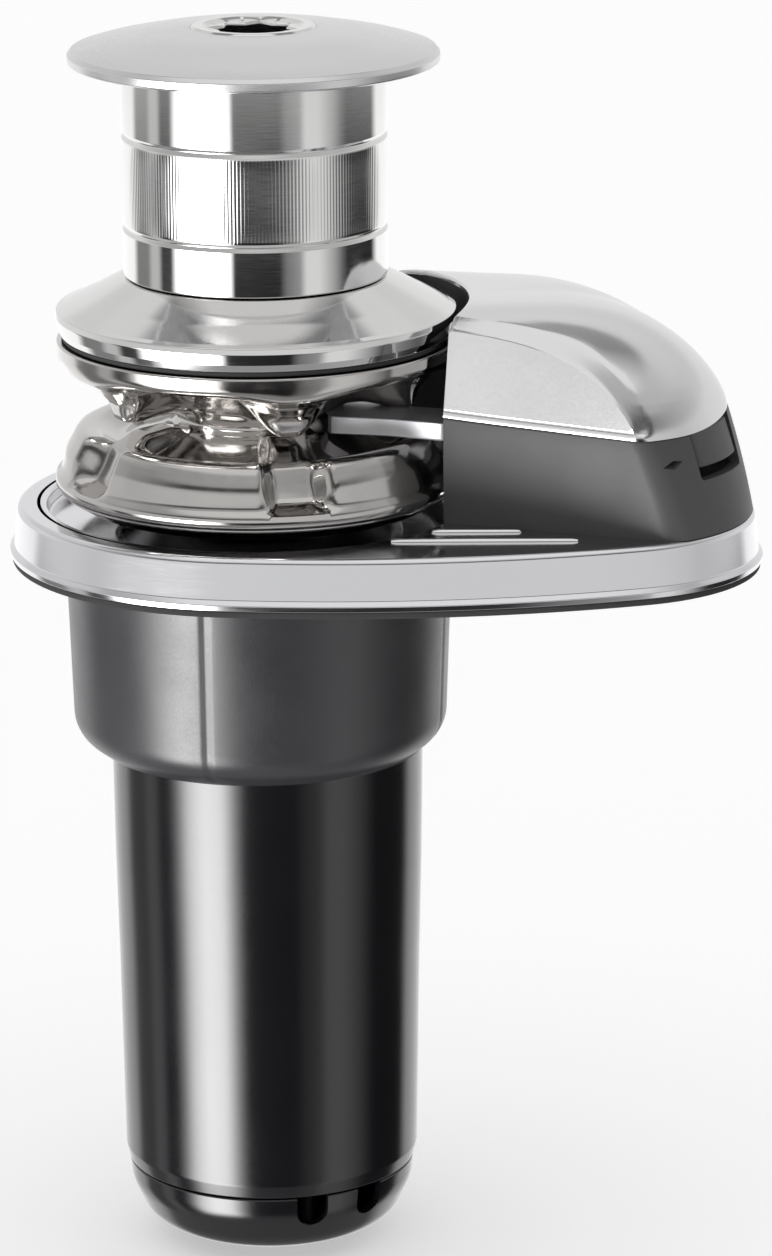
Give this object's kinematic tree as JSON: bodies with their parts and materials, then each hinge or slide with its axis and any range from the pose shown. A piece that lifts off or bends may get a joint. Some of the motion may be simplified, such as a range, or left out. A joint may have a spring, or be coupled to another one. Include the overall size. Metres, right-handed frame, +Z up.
{
  "type": "vertical anchor windlass",
  "caption": "Vertical deck windlass: rope drum over a chain gypsy on a teardrop base with a domed hawse cover, and an electric gearmotor under the deck.",
  "frame": {"origin": "on the main shaft axis, in the deck plane (underside of the base gasket)", "axes": "+Z up along the main shaft, +X along the base towards its nose"},
  "size_m": [0.2165, 0.143, 0.3586],
  "materials": {
    "mirror_stainless": "mirror polished stainless steel",
    "satin_stainless": "satin stainless steel with polished edges",
    "black_moulding": "satin black moulded plastic",
    "rubber": "matt black rubber",
    "bright_steel": "ground steel",
    "gear_steel": "hobbed steel, oiled",
    "grey_housing": "dark grey metallic paint, fine texture",
    "black_cover": "satin black coating",
    "cast_aluminium": "as cast",
    "motor_steel": "drawn steel",
    "ferrite": "sintered ferrite",
    "carbon": "carbon",
    "copper": "copper",
    "bronze": "machined bronze",
    "friction_lining": "woven friction lining"
  },
  "bodies": {
    "deck_unit": {"base_plate": "mirror_stainless", "base_gasket": "rubber", "hawse_body": "black_moulding", "latch_pin": "bright_steel", "latch_spring": "bright_steel", "chain_stripper": "mirror_stainless", "stripper_screws": "bright_steel", "shaft_seal": "rubber", "gearbox_housing": "grey_housing", "housing_seal": "rubber", "housing_screws": "bright_steel", "main_bearing_outer": "bright_steel", "bearing_balls": "bright_steel", "output_ring_gear": "gear_steel", "input_ring_gear": "gear_steel", "motor_adapter": "cast_aluminium", "adapter_screws": "bright_steel", "motor_case": "motor_steel", "motor_magnets": "ferrite", "rotor_bearings": "bright_steel", "end_bell": "cast_aluminium", "brush_holder": "black_moulding", "brushes": "carbon", "brush_springs": "bright_steel", "terminal_studs": "bronze", "motor_cover_tube": "black_cover", "end_cap": "black_cover", "tie_rods": "bright_steel"},
    "output_shaft": {"main_shaft": "bright_steel", "shaft_keys": "bright_steel", "main_bearing_inner": "bright_steel", "lower_clutch_cone": "bright_steel", "lower_cone_lining": "friction_lining", "clutch_cone_flange": "mirror_stainless", "upper_cone_lining": "friction_lining", "cone_seal": "rubber", "drum": "satin_stainless", "output_carrier": "gear_steel", "output_planet_pins": "bright_steel"},
    "chain_wheel": {"gypsy": "mirror_stainless", "gypsy_bush": "bronze"},
    "clutch_washer": {"thrust_washer": "bright_steel"},
    "clutch_cap": {"drum_cap": "mirror_stainless", "handle_socket": "satin_stainless"},
    "cover": {"chain_cover": "satin_stainless"},
    "latch": {"cover_latch": "black_moulding"},
    "input_stage": {"input_carrier": "gear_steel", "output_sun": "gear_steel", "input_planet_pins": "bright_steel"},
    "rotor": {"rotor_shaft": "bright_steel", "input_sun": "gear_steel", "rotor_core": "motor_steel", "rotor_windings": "copper", "commutator": "copper"},
    "output_gear_1": {"output_planet_1": "gear_steel"},
    "input_gear_1": {"input_planet_1": "gear_steel"},
    "output_gear_2": {"output_planet_2": "gear_steel"},
    "input_gear_2": {"input_planet_2": "gear_steel"},
    "output_gear_3": {"output_planet_3": "gear_steel"},
    "input_gear_3": {"input_planet_3": "gear_steel"}
  },
  "joints": [
    {"name": "shaft_spin", "type": "hinge", "parent": "deck_unit", "child": "output_shaft", "pos_m": [0, 0, 0.03], "axis": [0, 0, 1], "continuous": true},
    {"name": "gypsy_spin", "type": "hinge", "parent": "output_shaft", "child": "chain_wheel", "pos_m": [0, 0, 0.0424], "axis": [0, 0, 1], "continuous": true},
    {"name": "cap_lift", "type": "slide", "parent": "output_shaft", "child": "clutch_washer", "axis": [0, 0, 1], "range_m": [0, 0.0025]},
    {"name": "cap_turn", "type": "hinge", "parent": "clutch_washer", "child": "clutch_cap", "pos_m": [0, 0, 0.13], "axis": [0, 0, 1], "range_deg": [0, 360]},
    {"name": "cover_lift", "type": "slide", "parent": "deck_unit", "child": "cover", "axis": [0, 0, 1], "range_m": [0, 0.06]},
    {"name": "latch_press", "type": "hinge", "parent": "deck_unit", "child": "latch", "pos_m": [0.12768, -0.01254, 0.036], "axis": [0.3584, 0.9336, 0], "range_deg": [-6, 0], "stiffness_Nm_per_rad": 0.4, "springref_deg": 2.86},
    {"name": "input_stage_spin", "type": "hinge", "parent": "deck_unit", "child": "input_stage", "pos_m": [0, 0, -0.03], "axis": [0, 0, 1], "continuous": true},
    {"name": "rotor_spin", "type": "hinge", "parent": "deck_unit", "child": "rotor", "pos_m": [0, 0, -0.1], "axis": [0, 0, 1], "continuous": true},
    {"name": "output_gear_1_spin", "type": "hinge", "parent": "output_shaft", "child": "output_gear_1", "pos_m": [0.0252, 0, -0.024], "axis": [0, 0, 1], "continuous": true},
    {"name": "input_gear_1_spin", "type": "hinge", "parent": "input_stage", "child": "input_gear_1", "pos_m": [0.0225, 0, -0.039], "axis": [0, 0, 1], "continuous": true},
    {"name": "output_gear_2_spin", "type": "hinge", "parent": "output_shaft", "child": "output_gear_2", "pos_m": [-0.0126, 0.02182, -0.024], "axis": [0, 0, 1], "continuous": true},
    {"name": "input_gear_2_spin", "type": "hinge", "parent": "input_stage", "child": "input_gear_2", "pos_m": [-0.01125, 0.01949, -0.039], "axis": [0, 0, 1], "continuous": true},
    {"name": "output_gear_3_spin", "type": "hinge", "parent": "output_shaft", "child": "output_gear_3", "pos_m": [-0.0126, -0.02182, -0.024], "axis": [0, 0, 1], "continuous": true},
    {"name": "input_gear_3_spin", "type": "hinge", "parent": "input_stage", "child": "input_gear_3", "pos_m": [-0.01125, -0.01949, -0.039], "axis": [0, 0, 1], "continuous": true}
  ],
  "couplings": [
    {"joint": "cap_turn", "follows": "cap_lift", "rad_per_m": 2513.3},
    {"joint": "input_stage_spin", "follows": "shaft_spin", "ratio": 6},
    {"joint": "rotor_spin", "follows": "shaft_spin", "ratio": 36},
    {"joint": "output_gear_1_spin", "follows": "shaft_spin", "ratio": -2.5},
    {"joint": "input_gear_1_spin", "follows": "shaft_spin", "ratio": -15},
    {"joint": "output_gear_2_spin", "follows": "shaft_spin", "ratio": -2.5},
    {"joint": "input_gear_2_spin", "follows": "shaft_spin", "ratio": -15},
    {"joint": "output_gear_3_spin", "follows": "shaft_spin", "ratio": -2.5},
    {"joint": "input_gear_3_spin", "follows": "shaft_spin", "ratio": -15}
  ]
}
